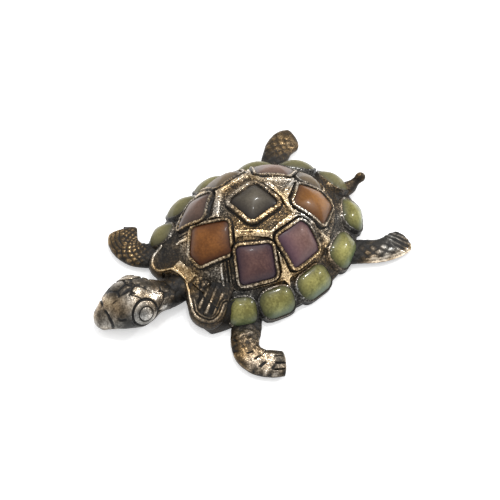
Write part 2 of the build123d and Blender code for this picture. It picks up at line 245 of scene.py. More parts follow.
def inset(corners, amount):
    """Corners of an outline moved inwards: each pair of neighbouring sides is shifted and crossed again."""
    sides = unit(np.roll(corners, -1, axis=0) - corners)
    inward = np.stack([-sides[:, 1], sides[:, 0]], -1)
    before, before_in = np.roll(sides, 1, axis=0), np.roll(inward, 1, axis=0)
    cross = before[:, 0] * sides[:, 1] - before[:, 1] * sides[:, 0]
    gap = (inward - before_in) * amount
    reach = (gap[:, 0] * sides[:, 1] - gap[:, 1] * sides[:, 0]) / cross
    return corners + before_in * amount + before * reach[:, None]


FAR = 9.0


class Cell:
    """A cell's frame and its rounded outline."""

    def __init__(self, middle, normal, across, corners, radius):
        self.middle, self.normal, self.radius = middle, normal, radius
        self.across = unit(across - normal * (across @ normal))
        self.up = np.cross(normal, self.across)
        corners = np.asarray(corners, float)
        flat = np.stack([(corners - middle) @ self.across, (corners - middle) @ self.up], -1)
        turn = np.sum(flat[:, 0] * np.roll(flat[:, 1], -1) - flat[:, 1] * np.roll(flat[:, 0], -1))
        self.inner = inset(flat if turn > 0 else flat[::-1], radius)

    def flat(self, points):
        """Position of points in the cell's frame: across, up and out."""
        return tuple((points - self.middle) @ way for way in (self.across, self.up, self.normal))

    def distance(self, u, v):
        """Least distance to the inset outline's sides, signed by the side of each, less the radius."""
        point = np.stack([u, v], -1)
        nearest, inside = np.full(np.shape(u), 1e3), np.ones(np.shape(u), bool)
        for a, b in zip(self.inner, np.roll(self.inner, -1, axis=0)):
            side, away = b - a, point - a
            share = np.clip(away @ side / (side @ side), 0, 1)
            nearest = np.minimum(nearest, np.linalg.norm(away - share[..., None] * side, axis=-1))
            inside &= side[0] * away[..., 1] - side[1] * away[..., 0] > 0
        return np.where(inside, -nearest, nearest) - self.radius

    def gap(self, points, reach, depth):
        """Signed distance where points lie within reach of the middle and above the depth, else FAR."""
        u, v, w = self.flat(points)
        near = (np.hypot(u, v) < reach) & (w > -depth)
        gap = np.full(w.shape, FAR)
        gap[near] = self.distance(u[near], v[near])
        return gap

    def outline(self, angles):
        """Distance from the middle to the outline in each direction, halved down twenty-five times."""
        low, high = np.zeros_like(angles), np.full_like(angles, 12.0)
        for _ in range(25):
            half = (low + high) / 2
            out = self.distance(half * np.cos(angles), half * np.sin(angles)) > 0
            low, high = np.where(out, low, half), np.where(out, half, high)
        return low


def dome_cell(shares, radius=0.8):
    """Cell whose frame touches the dome at the mean of its corners."""
    x, y = (np.array(shares) * [DOME_RADIUS, DOME_HALF_LENGTH]).T
    corners, _ = dome(x, y)
    middle, normal = dome(x.mean(), y.mean())
    return Cell(middle, normal, np.cross([0.0, 1.0, 0.0], normal), corners, radius)


dome_cells = {f"enamel_shell_{place}": dome_cell(shares) for place, shares in MIDDLE_CELLS.items()}
for word, side in (("left", 1), ("right", -1)):
    for place, shares in SIDE_CELLS.items():
        dome_cells[f"enamel_shell_{word}_{place}"] = dome_cell([(side * x, y) for x, y in shares])
print("cells on the dome", sorted(dome_cells))

# %% Cells on the sloping edge: angles from the tail on the left and right, length, slope and shift down it
EDGE_CELLS = (
    (132.0, 129.0, 4.2, 4.3, 0.4),
    (112.2, 106.5, 5.3, 4.2, 0.2),
    (89.0, 84.0, 5.8, 4.1, 0.2),
    (62.0, 56.0, 5.8, 4.2, 0.2),
    (33.5, 29.0, 5.5, 4.2, 0.2),
)
TAIL_CELL = (0.0, 5.2, 4.2, 0.0)
EDGE_HALF_WIDTH, EDGE_HALF_LENGTH, EDGE_HEIGHT, EDGE_TILT = 12.9, 17.2, 2.9, math.radians(42.0)
EDGE_CELL_CORNER = 1.6


def edge_frame(angle):
    """Point of the edge's middle ellipse, the way out from it, and the slope's normal."""
    middle = np.stack(
        [EDGE_HALF_WIDTH * np.sin(angle), EDGE_HALF_LENGTH * np.cos(angle), EDGE_HEIGHT + 0 * angle], -1
    )
    out = unit(np.stack([np.sin(angle) / EDGE_HALF_WIDTH, np.cos(angle) / EDGE_HALF_LENGTH, 0 * angle], -1))
    normal = out * math.sin(EDGE_TILT) + np.array([0, 0, math.cos(EDGE_TILT)])
    return middle, out, normal


def edge_cell(angle, length, slope, shift):
    """Cell on the edge: a rounded rectangle square to the slope and shifted down it."""
    middle, out, normal = edge_frame(np.array(math.radians(angle)))
    across = np.cross([0.0, 0.0, 1.0], out)
    up = np.cross(normal, across)
    middle = middle - up * shift
    x, y = length / 2, slope / 2
    corners = [middle + across * a + up * b for a, b in ((x, y), (-x, y), (-x, -y), (x, -y))]
    return Cell(middle, normal, across, corners, EDGE_CELL_CORNER)


edge_cells = {"enamel_edge_tail": edge_cell(*TAIL_CELL)}
edge_angles = {"enamel_edge_tail": 0.0}
for number, (left, right, *sizes) in enumerate(EDGE_CELLS, 1):
    for word, angle in (("left", left), ("right", -right)):
        edge_cells[f"enamel_edge_{word}_{number}"] = edge_cell(angle, *sizes)
        edge_angles[f"enamel_edge_{word}_{number}"] = math.radians(angle)
print("cells on the edge", len(edge_cells))

# %% [markdown]
# ## The shell's metal
# Each cell has a raised, hammered rim with a dark groove round it, and a network of ridges runs between
# the cells. The relief is a height above the dome: the highest of the ground, the ridges and the rims.
# The same height, with some noise, is kept with each point as its tone: dark stain lies in the hollows
# and the crests are rubbed bright.

# %% The ridges between the cells
RIDGES = (
    ((0.0, -0.39), (0.172, -0.39)),
    ((0.172, -0.39), (0.475, -0.135)),
    ((0.475, -0.135), (0.437, 0.207)),
    ((0.437, 0.207), (0.197, 0.215)),
    ((0.197, 0.215), (0.0, 0.215)),
    ((0.172, -0.39), (0.33, -0.637)),
    ((0.33, -0.637), (0.467, -0.70)),
    ((0.475, -0.135), (0.85, -0.20)),
    ((0.437, 0.207), (0.66, 0.43)),
    ((0.197, 0.215), (0.03, 0.47)),
    ((0.03, 0.47), (0.33, 0.75)),
)


def line_distance(points, start, end):
    """Distance from points to the straight line between two points."""
    run, away = end - start, points - start
    share = np.clip(away @ run / (run @ run), 0, 1)
    return np.linalg.norm(away - share[..., None] * run, axis=-1)


def ridge_distance(points):
    """Least distance to any ridge, each taken as five short chords of the dome."""
    nearest = np.full(points.shape[:-1], 1e3)
    for start, end in RIDGES:
        for side in (1, -1):
            share = np.linspace(0, 1, 6)[:, None]
            plan = np.array(start) * (1 - share) + np.array(end) * share
            chain, _ = dome(side * plan[:, 0] * DOME_RADIUS, plan[:, 1] * DOME_HALF_LENGTH)
            for a, b in zip(chain[:-1], chain[1:]):
                nearest = np.minimum(nearest, line_distance(points, a, b))
    return nearest


def hump(distance, half_width):
    """1 on a line and 0 beyond its half width, as a round back."""
    return np.sqrt(np.clip(1 - (distance / half_width) ** 2, 0, 1))


def stripes(place, pitch, half_width):
    """Round backs that repeat at every pitch, with the first in the middle of the first pitch."""
    return hump(place % pitch - pitch / 2, half_width)


# %% The shell's surface
WEDGES = (
    ((0.80, -0.26), (0.93, -0.20), (0.80, -0.165)),
    ((0.69, 0.345), (0.83, 0.30), (0.77, 0.43)),
)
GROUND, GROOVE, POCKET = -0.5, -0.60, -0.66  # heights above the dome's formula, in millimetres
SHELL_FOOT_HEIGHT = 3.75
rows, columns = 138, 690
turns = np.linspace(0, 2 * math.pi, columns, endpoint=False)
steps = np.linspace(1 / rows, 1, rows)
FOOT = math.acos((SHELL_FOOT_HEIGHT - DOME_AXIS) / DOME_RADIUS)
reach = np.sin(steps * FOOT) / math.sin(FOOT)
foot_width = DOME_RADIUS * math.sin(FOOT)
foot_length = math.sqrt(ARC**2 - (DOME_RADIUS * math.cos(FOOT) + ARC_OFFSET) ** 2)
ground, outward = dome(
    reach[:, None] * foot_width * np.sin(turns), reach[:, None] * foot_length * np.cos(turns)
)
bumps, _ = stones(ground, 0.42, 3)
coarse, broad = waves(ground, 1.7, 5), waves(ground, 5.0, 6)
relief = GROUND + 0.11 * bumps + 0.08 * coarse
tone = 0.30 + 0.30 * bumps + 0.14 * coarse + 0.08 * broad

# %% Ridges, their double lines and the polished wedges at their feet
ridge = ridge_distance(ground)
back = hump(ridge + 0.10 * coarse, 0.66) ** 0.7
relief = np.maximum(relief, GROUND + (0.50 + 0.12 * bumps) * back)
tone = tone + back * (0.34 + 0.12 * bumps - 0.10 * coarse)
line = hump(ridge, 0.11) * smooth(coarse, -0.1, 0.25)
relief, tone = relief - 0.16 * line, tone - 0.45 * line
rear_part = smooth(ground[..., 1], -11.5, -8.5)
foot = hump(ground[..., 2] - 5.2 + 0.15 * coarse, 0.5) * rear_part
relief = np.maximum(relief, GROUND + 0.5 * foot)
tone = tone + 0.12 * foot - 0.12 * smooth(ground[..., 2], 5.0, 4.2)
for side in (1, -1):
    for shares in WEDGES:
        wedge = dome_cell([(side * x, y) for x, y in shares], radius=0.2)
        flat = smooth(wedge.gap(ground, 3, 3), 0.12, -0.12)
        relief, tone = toward(relief, -0.02, flat), toward(tone, 0.88 + 0.08 * coarse, flat)

# %% Curved lines before the front side cells
for side in ("left", "right"):
    gap = dome_cells[f"enamel_shell_{side}_front"].gap(ground, 7, 5)
    ahead = smooth(ground[..., 1], -8.3, -9.3)
    band = hump(gap - 1.65, 0.75) * ahead
    relief, tone = toward(relief, GROUND, band), toward(tone, 0.16, band)
    for away in (1.35, 1.90):
        curve = hump(gap - away, 0.17) * ahead
        relief = np.maximum(relief, GROUND + 0.34 * curve)
        tone = np.maximum(tone, 0.62 * curve)

# %% Rims of the cells, with a dark groove outside each and the pocket inside
for name, cell in dome_cells.items():
    gap = cell.gap(ground, 6.5, 4) + 0.04 * coarse
    width = 0.80 if name.endswith("centre") else 0.50
    groove = smooth(gap, width + 0.42, width + 0.08)
    relief, tone = toward(relief, GROOVE, groove), tone * (1 - groove)
    rim = np.clip(1.5 * hump(gap - width / 2, width / 2 + 0.05), 0, 1)
    relief = np.maximum(relief, GROUND + (0.60 + 0.12 * bumps) * rim)
    crest = hump(gap - width / 2, width / 2 - 0.05) ** 2
    tone = np.maximum(tone, rim * (0.30 + 0.20 * bumps + 0.10 * coarse) + crest * (0.24 + 0.16 * bumps))
    pocket = smooth(gap, 0.02, -0.06)
    relief, tone = toward(relief, POCKET, pocket), tone * (1 - pocket)
shell_points = ground + outward * relief[..., None]
shell_metal = surface("shell_metal", shell_points, caps=(True, False), tone=np.clip(tone, 0, 1))

# %% [markdown]
# ## The sloping edge
# Eleven cells stand side by side on a slope round the shell. Each rim bulges past the lip between its
# neighbours, which gives the brooch its scalloped outline. The grid goes round the shell; its rows run from
# under the dome, down the slope, over the lip and back under it.


# %% The edge's surface
REACH_BETWEEN, RIM_SIDE, RIM_END = 1.95, 0.38, 0.30
SLOPE_TOP, SLOPE_GROUND, SLOPE_POCKET = 2.6, -0.42, -0.45


def cell_reach(angle):
    """How far down the slope the metal reaches at each angle: past each cell's rim, and less between."""
    point, _, _ = edge_frame(angle)
    reach = np.full(angle.shape, REACH_BETWEEN)
    for name, cell in edge_cells.items():
        u, _, _ = cell.flat(point)
        near = np.abs(np.angle(np.exp(1j * (angle - edge_angles[name])))) < 0.5
        half_length = np.abs(cell.inner[:, 0]).max() + cell.radius + RIM_SIDE
        shift = (EDGE_HEIGHT - cell.middle[2]) / math.sin(EDGE_TILT)
        half_slope = np.abs(cell.inner[:, 1]).max() + cell.radius + RIM_END + shift
        corner = cell.radius + RIM_SIDE
        beyond = np.clip(np.abs(u) - (half_length - corner), 0, corner)
        bulge = half_slope - corner + np.sqrt(corner**2 - beyond**2)
        reach = np.where(near & (np.abs(u) < half_length), np.maximum(reach, bulge), reach)
    return reach


END = math.radians(142.0)
angle = np.linspace(-END, END, 640)
middle, out, normal = edge_frame(angle)
lowest = cell_reach(angle)
slope_rows = np.linspace(0, 1, 44)[:, None]
down = -SLOPE_TOP + slope_rows * (lowest + SLOPE_TOP)
downhill = out * math.cos(EDGE_TILT) - np.array([0, 0, math.sin(EDGE_TILT)])
slope = middle + downhill * down[..., None]
fine, coarse = stones(slope, 0.5, 11)[0], waves(slope, 1.5, 12)
sink = SLOPE_GROUND + 0.06 * fine + 0.06 * coarse
edge_tone = 0.16 + 0.16 * fine + 0.12 * coarse + 0.10 * smooth(down, 0.5, -1.5)
for cell in edge_cells.values():
    _, v, w = cell.flat(slope)
    gap = cell.gap(slope, 5, 2.5)
    rim = np.clip(1.4 * hump(gap - 0.16, 0.26), 0, 1)
    top = np.clip(-w, -0.1, 0.5) + 0.02 + 0.08 * fine
    sink = np.maximum(sink, SLOPE_GROUND + (top - SLOPE_GROUND) * rim)
    upper = smooth(v, -0.5, 1.5)
    edge_tone = np.maximum(edge_tone, rim * (0.16 + 0.24 * fine + 0.22 * coarse + 0.24 * upper))
    pocket = smooth(gap, 0.02, -0.06)
    sink, edge_tone = toward(sink, SLOPE_POCKET, pocket), edge_tone * (1 - pocket)
slope = slope + normal * sink[..., None]
inside = slope[0] - out * 1.9 + np.array([0, 0, -0.15])
lip = slope[-1]
under = np.linspace(0, 1, 12)[1:, None, None]
fall = (lip[None, :, 2:] - 0.32) * under
drop = lip[None] - fall * np.array([0, 0, 1.0]) - out * 0.28 * np.sin(under * 1.6)
bottom = drop[-1][None] - out * np.array([0.5, 2.0])[:, None, None]
edge_points = np.concatenate([inside[None], slope, drop, bottom])
# Painted shade: the row under the dome is black, the tone darkens going down under the lip, and the rows
# beneath stay dark.
edge_tones = [np.zeros((1, len(angle))), edge_tone]
edge_tones += [0.42 + 0.25 * waves(drop, 1.1, 14) - 0.3 * under[..., 0], np.full((2, len(angle)), 0.2)]
edge_metal = surface("edge_metal", edge_points, ring=False, tone=np.concatenate(edge_tones))


# %% [markdown]
# ## Head, legs and tail
# These are tubes: an oval section is carried along a path of a few stations, and a smooth curve runs
# through the stations. Scales, rings and lines are then pressed into the skin along its normals.


# %% A tube through stations
def through(stations, count):
    """Smooth values between stations: each span is a cubic that leaves and arrives along the line between
    the neighbouring stations, spaced evenly by distance on the plan."""
    stations = np.asarray(stations, float)
    length = np.concatenate([[0], np.cumsum(np.linalg.norm(np.diff(stations[:, :2], axis=0), axis=1))])
    slope = np.gradient(stations, length, axis=0)
    where = np.linspace(0, length[-1], count)
    k = np.clip(np.searchsorted(length, where, side="right") - 1, 0, len(length) - 2)
    span = (length[k + 1] - length[k])[:, None]
    t = ((where - length[k]) / span[:, 0])[:, None]
    a, b = stations[k], stations[k + 1]
    return (
        a * (2 * t**3 - 3 * t**2 + 1)
        + slope[k] * span * (t**3 - 2 * t**2 + t)
        + b * (3 * t**2 - 2 * t**3)
        + slope[k + 1] * span * (t**3 - t**2)
    ), where


def tube(stations, count, around, power=1.0, tip=1.0):
    """Oval tube: middle + side * half width * cos + up * half height * sin, with both shrunk to nothing
    over the last tip millimetres as a quarter circle. Stations hold x, y, z, half width, half height."""
    path, where = through(stations, count)
    centre, half_width, half_height = path[:, :3], path[:, 3], path[:, 4]
    heading = unit(np.gradient(centre, axis=0))
    side = unit(np.cross(heading, [0.0, 0.0, 1.0]))
    up = np.cross(side, heading)
    left = np.clip((where[-1] - where) / tip, 0, 1)
    close = np.sqrt(np.maximum(1 - (1 - left) ** 2, 1e-4))
    turn = np.linspace(0, 2 * math.pi, around, endpoint=False)
    cos = np.sign(np.cos(turn)) * np.abs(np.cos(turn)) ** power
    sin = np.sign(np.sin(turn)) * np.abs(np.sin(turn)) ** power
    points = (
        centre[:, None]
        + side[:, None] * (half_width * close)[:, None, None] * cos[None, :, None]
        + up[:, None] * (half_height * close)[:, None, None] * sin[None, :, None]
    )
    return points, where, turn


# %% [markdown]
# The legs carry rows of small diamond scales. Two families of slanting waves, multiplied, give the diamonds;
# they stand proud and shine, and the lines between them stay dark. Each leg wears its own pattern: the
# front left foot has grooved claws, the front right one smooth bands, and the rear left one a polished
# border.

# %% The four legs: x, y, height, half width and half thickness of each station, in millimetres
LEGS = {
    "front_left": (
        (9.4, -10.2, 0.85, 2.15, 0.75),
        (11.9, -12.8, 0.92, 2.30, 0.82),
        (13.6, -14.6, 1.12, 2.12, 1.02),
        (15.5, -15.5, 1.15, 2.20, 1.00),
        (17.5, -15.2, 1.10, 2.30, 0.97),
        (19.0, -14.0, 1.05, 2.35, 0.95),
        (20.3, -12.4, 1.00, 2.15, 0.85),
    ),
    "front_right": (
        (-7.6, -12.0, 1.15, 2.20, 0.95),
        (-9.4, -14.6, 1.12, 2.30, 0.98),
        (-11.3, -15.9, 1.12, 2.30, 1.00),
        (-13.2, -16.0, 1.12, 2.35, 0.98),
        (-14.8, -15.3, 1.05, 2.35, 0.92),
        (-16.2, -14.1, 0.95, 2.25, 0.82),
    ),
    "rear_left": (
        (10.6, 8.3, 1.10, 2.15, 0.90),
        (12.8, 11.1, 1.12, 2.30, 0.95),
        (14.5, 13.2, 1.12, 2.20, 0.95),
        (15.2, 15.0, 1.05, 2.25, 0.90),
        (15.5, 16.8, 0.98, 2.30, 0.82),
        (15.7, 18.35, 0.90, 1.85, 0.72),
    ),
    "rear_right": (
        (-9.4, 12.1, 1.20, 2.10, 0.98),
        (-11.4, 14.9, 1.15, 2.20, 0.98),
        (-12.6, 17.2, 1.15, 2.45, 0.98),
        (-12.9, 19.0, 1.05, 2.60, 0.92),
        (-12.4, 20.7, 1.00, 2.20, 0.82),
    ),
}


def scale_pattern(along, across, pitch):
    """Diamonds: the product of two slanting cosines, each made blunt, so that it is 0 on their lines."""
    first = np.cos(math.pi * (along + across) / pitch)
    second = np.cos(math.pi * (along - across) / pitch)
    return (np.abs(first) * np.abs(second)) ** 0.6


LEG_ROWS, LEG_COLUMNS, LEG_ACROSS = 210, 136, 2.4
LOWEST = 0.02  # legs and head stay this far above the table, in millimetres
leg_pieces = []
for name, stations in LEGS.items():
    tip = 0.5 if name.startswith("front") else 0.8
    skin, where, turn = tube(stations, LEG_ROWS, LEG_COLUMNS, power=0.86, tip=tip)
    # Across is positive on the outer side of a bent front leg and on the camera's side of a rear one
    outer = 1.0 if name in ("front_left", "rear_left") else -1.0
    across = outer * LEG_ACROSS * np.cos(turn)[None] + 0 * where[:, None]
    end = where[-1]
    top = smooth(np.sin(turn), -0.1, 0.35)[None] * smooth(where, 0.3, 1.2)[:, None]
    if name == "front_right":
        # The foot is cut off at a slant, with its inner corner ahead
        ahead = skin[-1].mean(axis=0) - skin[-12].mean(axis=0)
        skin = skin - unit(ahead) * (0.36 * across * smooth(where, end - 3.5, end)[:, None])[..., None]
    run = where[:, None] + 0.12 * waves(skin, 1.5, 21)
    rough, bright = waves(skin, 0.7, 22), waves(skin, 2.4, 23)
    # Painted shade: the tone darkens towards the root, where the leg goes in under the shell's edge.
    painted_root_shade = 0.25 + 0.75 * smooth(where, 2.0, 5.5)[:, None]
    if name == "front_left":
        pebble, _ = stones(skin, 0.8, 25)
        zone, foot = top * smooth(run, end - 3.5, end - 7.0), top * smooth(run, end - 7.0, end - 4.0)
        lines = stripes(run + 0.45 * across + 0.35 * waves(skin, 1.3, 27), 1.5, 0.17)
        gash = lines * smooth(waves(skin, 1.2, 26), -0.05, 0.25) * top
        gash = gash * smooth(run, 3.0, 4.5) * smooth(run, end - 1.5, end - 2.0)
        claws = stripes(across + 0.25, 1.15, 0.14) * top * smooth(run, end - 1.9, end - 1.5)
        relief = 0.16 * zone * (pebble - 0.6) - 0.18 * gash - 0.34 * claws + 0.05 * foot * bright
        leg_tone = 0.36 + zone * (0.42 * pebble - 0.24) + foot * (0.24 + 0.26 * bright + 0.24 * rough)
        leg_tone = leg_tone - 0.7 * gash - 0.9 * claws
    elif name == "front_right":
        scales = scale_pattern(run, across, 1.05)
        plain = top * smooth(run, end - 4.6, end - 3.4) * smooth(across, -0.3, 0.4)
        zone = top * smooth(run, 2.0, 4.0) * (1 - plain) * smooth(run, end - 0.4, end - 0.9)
        bands = stripes(across + 0.15 * bright, 0.72, 0.10) * plain
        relief = 0.14 * zone * (scales - 0.6) - 0.07 * bands
        leg_tone = 0.30 + zone * (0.62 * scales - 0.22) + plain * (0.36 + 0.2 * bright) - 0.5 * bands
    elif name == "rear_left":
        scales = scale_pattern(run, across, 1.75)
        zone = top * smooth(across, -0.9, 0.0) * smooth(across, 2.25, 1.9) * smooth(run, end - 2.6, end - 3.6)
        border = smooth(across, 1.7, 2.05) * smooth(np.sin(turn), -0.6, -0.1)[None]
        streaks = top * smooth(across, 0.1, -0.8) * waves(skin * [1.0, 0.35, 1.0], 0.5, 24)
        ribs = stripes(run - 0.5 * across, 0.95, 0.30) * top * smooth(run, end - 3.4, end - 2.8)
        relief = 0.15 * zone * (scales - 0.6) + 0.05 * streaks + 0.10 * ribs
        leg_tone = 0.28 + zone * (0.54 * scales - 0.18) + 0.5 * border + 0.2 * streaks + 0.34 * ribs
    else:
        scales = scale_pattern(run, across, 1.6)
        zone = top * smooth(run, end - 1.0, end - 2.4) * smooth(np.abs(across), 2.1, 1.6)
        relief = 0.09 * zone * (scales - 0.6)
        leg_tone = 0.36 + zone * (0.34 * scales - 0.14) + 0.1 * top
    skin = skin + normals_of(skin) * (relief + 0.03 * rough)[..., None]
    skin[..., 2] = np.maximum(skin[..., 2], LOWEST)
    # Painted shade: the tone fades to black on the underside of each leg.
    upper = smooth(np.sin(turn), -1.0, -0.2)[None]
    leg_tone = np.clip((leg_tone + 0.10 * bright + 0.08 * rough) * painted_root_shade * upper, 0, 1)
    leg_pieces.append(surface(f"leg_{name}", skin, caps=(True, True), flip=True, tone=leg_tone))

# %% The tail: x, y, z, half width, half height
TAIL = (
    (1.0, 14.8, 1.7, 1.60, 1.30),
    (1.6, 17.4, 1.4, 1.45, 1.20),
    (1.95, 19.4, 1.5, 1.10, 1.05),
    (2.1, 20.6, 2.1, 0.72, 0.74),
    (2.2, 21.3, 2.5, 0.88, 0.88),
    (2.25, 22.15, 2.9, 0.92, 0.92),
)
TAIL_ROWS, TAIL_COLUMNS = 150, 90
skin, where, _ = tube(TAIL, TAIL_ROWS, TAIL_COLUMNS, tip=0.92)
relief = 0.05 * waves(skin, 0.9, 31)
skin = skin + normals_of(skin) * relief[..., None]
# Painted highlight: the tone rises on the curled-up tip of the tail.
tail_tone = 0.36 + 0.24 * smooth(where, 5.6, 6.8)[:, None] + 0.22 * waves(skin, 0.9, 32)
tail_piece = surface("tail_metal", skin, caps=(True, True), flip=True, tone=np.clip(tail_tone, 0, 1))

# %% [markdown]
# The head turns a little to the turtle's right. Its beak is a smooth plate, a mouth line runs back under
# the eye, and each eye is a broad low disc in a groove with a ball in its middle. The crown carries flat
# scales.

# %% The head: stations along its own line, then x, y, z, half width, half height
HEAD_TURN = math.radians(17.5)
NECK_FRONT = np.array([-0.7, -18.0])
forward = np.array([-math.sin(HEAD_TURN), -math.cos(HEAD_TURN)])
HEAD = (
    (0.16, 0.68, 0.74, 0.85),
    (0.30, 0.92, 0.91, 0.95),
    (0.44, 1.00, 1.00, 1.00),
    (0.58, 0.91, 0.93, 0.95),
    (0.70, 0.76, 0.79, 0.83),
    (0.84, 0.52, 0.53, 0.61),
    (0.93, 0.34, 0.36, 0.46),
    (0.97, 0.22, 0.26, 0.40),
)
HEAD_LENGTH, HEAD_WIDTH, HEAD_HALF_HEIGHT, HEAD_HEIGHT = 12.0, 4.3, 3.15, 3.5
neck = [(-0.3, -13.9, 2.3, 2.4, 1.8), (-0.45, -15.6, 2.2, 2.3, 1.75), (-0.65, -17.6, 2.25, 2.3, 1.8)]
stations = list(neck)
for along, wide, thick, lift in HEAD:
    place = NECK_FRONT + forward * (along * HEAD_LENGTH)
    stations.append((*place, lift * HEAD_HEIGHT, wide * HEAD_WIDTH, thick * HEAD_HALF_HEIGHT))
HEAD_ROWS, HEAD_COLUMNS = 300, 270
skin, _, _ = tube(stations, HEAD_ROWS, HEAD_COLUMNS, power=0.96, tip=0.7)
side_way = np.array([-forward[1], forward[0], 0.0])
ahead = (skin[..., :2] - NECK_FRONT) @ forward
beside = (skin - np.append(NECK_FRONT, 0.0)) @ side_way
height = skin[..., 2]
head_normal = normals_of(skin)

# %% Scales, mouth and beak of the head
relief = 0.03 * waves(skin, 0.7, 41)
# Random tone, whose broad swings also stand in for the polished head's reflections: partly painted
# reflection.
tone = 0.62 + 0.26 * waves(skin, 1.9, 42) + 0.12 * waves(skin, 0.6, 40)
plates, seams = stones(skin, 2.1, 43)
seam = smooth(seams, 0.16, 0.03) * smooth(ahead, 9.0, 8.2) * smooth(ahead, -0.5, 1.5)
seam = seam * smooth(waves(skin, 1.7, 45), -0.15, 0.15) * smooth(skin[..., 2], 2.8, 3.6)
relief += 0.10 * smooth(ahead, 9.0, 8.0) * (plates - 0.5) - 0.14 * seam
tone -= 0.75 * seam
neck_bumps, neck_gaps = stones(skin, 0.95, 44)
on_neck = smooth(ahead, 1.6, -0.4)
relief += 0.16 * on_neck * (neck_bumps - 0.6)
tone += on_neck * (0.45 * neck_bumps - 0.68 - 0.3 * smooth(neck_gaps, 0.15, 0.0))
mouth_height = 1.75 + 0.30 * np.exp(-(((ahead - 7.6) / 0.8) ** 2)) - 0.03 * ahead
mouth = hump(height - mouth_height, 0.20) * smooth(ahead, 5.6, 6.4) * smooth(np.abs(beside), 0.1, 0.5)
relief -= 0.24 * mouth
tone -= 0.8 * mouth
plate = hump(ahead - (10.1 - 0.18 * np.abs(beside)), 0.17) * smooth(height - mouth_height, -0.2, 0.1)
plate = plate * smooth(np.abs(beside), 0.2, 0.8)
# Painted reflection: a dark patch on each cheek behind the beak.
painted_cheek_reflection = np.exp(-(((ahead - 7.7) / 1.2) ** 2) - ((height - 3.6) / 1.2) ** 2) * smooth(np.abs(beside), 0.5, 1.5)
tone -= 0.34 * painted_cheek_reflection
relief -= 0.20 * plate
tone -= 0.8 * plate
brow = hump(ahead - 5.2 - 0.6 * np.sin(beside * 2.2), 0.14) * smooth(height, 5.9, 6.2)
relief -= 0.10 * brow
tone -= 0.5 * brow

# %% Eyes: a broad low disc in a groove, with a ball in its middle
EYE_ALONG, EYE_OUT, EYE_RISE, EYE_LEAN = 0.385, 0.80, 0.32, math.radians(27)
EYE_RADIUS, EYE_GROOVE, EYE_RING, EYE_BALL = 1.95, 2.05, 1.12, 1.0
place = NECK_FRONT + forward * (EYE_ALONG * HEAD_LENGTH)
for side in (1, -1):
    eye = np.array([*place, HEAD_HEIGHT]) + side_way * side * EYE_OUT * HEAD_WIDTH
    eye[2] += EYE_RISE * HEAD_HALF_HEIGHT
    facing = side_way * side * math.cos(EYE_LEAN) + np.array([0, 0, math.sin(EYE_LEAN)])
    away = skin - eye
    radius = np.linalg.norm(away - (away @ facing)[..., None] * facing, axis=-1)
    here = (away @ facing > -2.4) & (radius < 2.8)
    disc, groove = here * hump(radius, EYE_RADIUS), here * hump(radius - EYE_GROOVE, 0.17)
    inner, ball = here * hump(radius - EYE_RING, 0.10), here * hump(radius, EYE_BALL)
    calm = here * smooth(radius, EYE_RADIUS + 0.3, EYE_RADIUS)
    relief = relief * (1 - calm) + 0.10 * disc + 0.16 * ball - 0.20 * groove - 0.12 * inner
    # Painted highlight: the ball in each eye is made brighter in tone.
    tone = tone * (1 - calm) + calm * (0.74 + 0.12 * ball) - 0.9 * groove - 0.55 * inner
skin = skin + head_normal * relief[..., None]
skin[..., 2] = np.maximum(skin[..., 2], LOWEST)
# Painted shade: the tone fades to black towards the bottom of the head.
tone = np.clip(tone, 0, 1) * smooth(skin[..., 2], 0.0, 1.8)
head_piece = surface("head_metal", skin, caps=(True, True), flip=True, tone=tone)

# %% [markdown]
# ## The collar
# A plate with two lobes lies over the neck. It slopes down to the front; each lobe has a raised border, and
# the left lobe curved ribs. Columns run across it; rows run from under the shell to the front edge and back
# beneath.

# %% The collar's surface: its front edge from right to left, as shares of its half width and depth
COLLAR_HALF_WIDTH, COLLAR_BACK, COLLAR_DEPTH = 8.2, 11.6, 6.4
FRONT_EDGE = np.array(
    [(-0.89, 0.32), (-0.88, 0.56), (-0.73, 0.77), (-0.54, 0.78), (-0.34, 0.55), (-0.17, 0.50), (0.10, 0.58)]
    + [(0.36, 0.77), (0.63, 0.95), (0.86, 0.93), (1.06, 0.78), (1.09, 0.58), (1.00, 0.30)]
)
BACK_SHARE, BACK_DEPTH, COLLAR_TOP, COLLAR_FALL = 0.84, -0.12, 5.2, 2.7
COLLAR_ROWS, COLLAR_COLUMNS = 130, 340
front_line, _ = through(FRONT_EDGE * [COLLAR_HALF_WIDTH, COLLAR_DEPTH], COLLAR_COLUMNS)
front_x, front_d = front_line[:, 0] / COLLAR_HALF_WIDTH, front_line[:, 1] / COLLAR_DEPTH
back_x = np.linspace(-BACK_SHARE, BACK_SHARE, COLLAR_COLUMNS)
row = np.linspace(0, 1, COLLAR_ROWS)[:, None]
across = back_x + (front_x - back_x) * row
depth = BACK_DEPTH + (front_d - BACK_DEPTH) * row
x = COLLAR_HALF_WIDTH * across
plate = np.stack([x, -COLLAR_BACK - COLLAR_DEPTH * depth, COLLAR_TOP - COLLAR_FALL * depth], -1)
edge_gap = np.full(x.shape, FAR)
flat = np.stack([x, COLLAR_DEPTH * depth, 0 * x], -1)
for a, b in zip(front_line[::6], np.vstack([front_line[6::6], front_line[-1:]])):
    edge_gap = np.minimum(edge_gap, line_distance(flat, np.append(a, 0.0), np.append(b, 1e-6)))
(fine, cracks), coarse = stones(plate, 0.6, 51), waves(plate, 1.4, 52)

